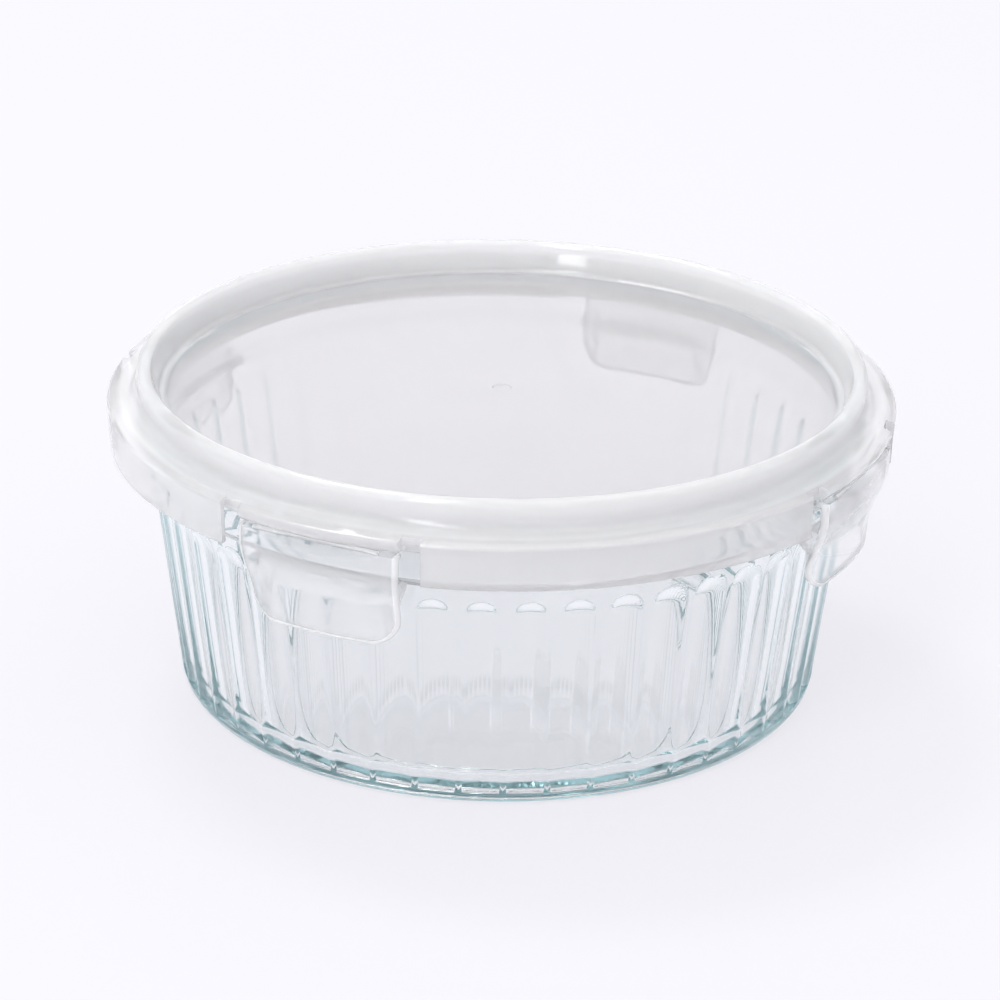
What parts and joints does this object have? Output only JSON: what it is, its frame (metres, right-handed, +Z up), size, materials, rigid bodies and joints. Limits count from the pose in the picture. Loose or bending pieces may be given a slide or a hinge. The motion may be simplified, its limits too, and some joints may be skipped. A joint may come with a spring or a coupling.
{
  "type": "glass food storage container",
  "caption": "Round fluted glass food storage container with a clear plastic lid, silicone seal and hinged locking flaps round the rim.",
  "frame": {"origin": "centre of the foot's resting plane, on the axis of the bowl", "axes": "+Z up along the bowl's axis; -Y is the front flap, +X the right flap"},
  "size_m": [0.18, 0.18, 0.0762],
  "materials": {
    "glass": "clear pressed and tempered glass with a faint blue-green edge tint",
    "lid_plastic": "translucent natural polypropylene, glossy rim, smooth see-through panel",
    "silicone": "clear soft silicone",
    "flap_plastic": "translucent natural polypropylene, thin and clearer than the lid",
    "hinge_plastic": "thin flexed polypropylene, slightly whitened"
  },
  "bodies": {
    "bowl": {"glass_bowl": "glass"},
    "lid": {"lid": "lid_plastic", "seal": "silicone"},
    "front_lock": {"front_flap": "flap_plastic", "front_hinge": "hinge_plastic"},
    "right_lock": {"right_flap": "flap_plastic", "right_hinge": "hinge_plastic"},
    "back_lock": {"back_flap": "flap_plastic", "back_hinge": "hinge_plastic"},
    "left_lock": {"left_flap": "flap_plastic", "left_hinge": "hinge_plastic"}
  },
  "joints": [
    {"name": "lid_lift", "type": "slide", "parent": "bowl", "child": "lid", "axis": [0, 0, 1], "range_m": [0, 0.09]},
    {"name": "front_flap_hinge", "type": "hinge", "parent": "lid", "child": "front_lock", "pos_m": [0, -0.0883, 0.0653], "axis": [-1, 0, 0], "range_deg": [0, 95]},
    {"name": "right_flap_hinge", "type": "hinge", "parent": "lid", "child": "right_lock", "pos_m": [0.0883, 0, 0.0653], "axis": [0, -1, 0], "range_deg": [0, 95]},
    {"name": "back_flap_hinge", "type": "hinge", "parent": "lid", "child": "back_lock", "pos_m": [0, 0.0883, 0.0653], "axis": [1, 0, 0], "range_deg": [0, 95]},
    {"name": "left_flap_hinge", "type": "hinge", "parent": "lid", "child": "left_lock", "pos_m": [-0.0883, 0, 0.0653], "axis": [0, 1, 0], "range_deg": [0, 95]}
  ]
}
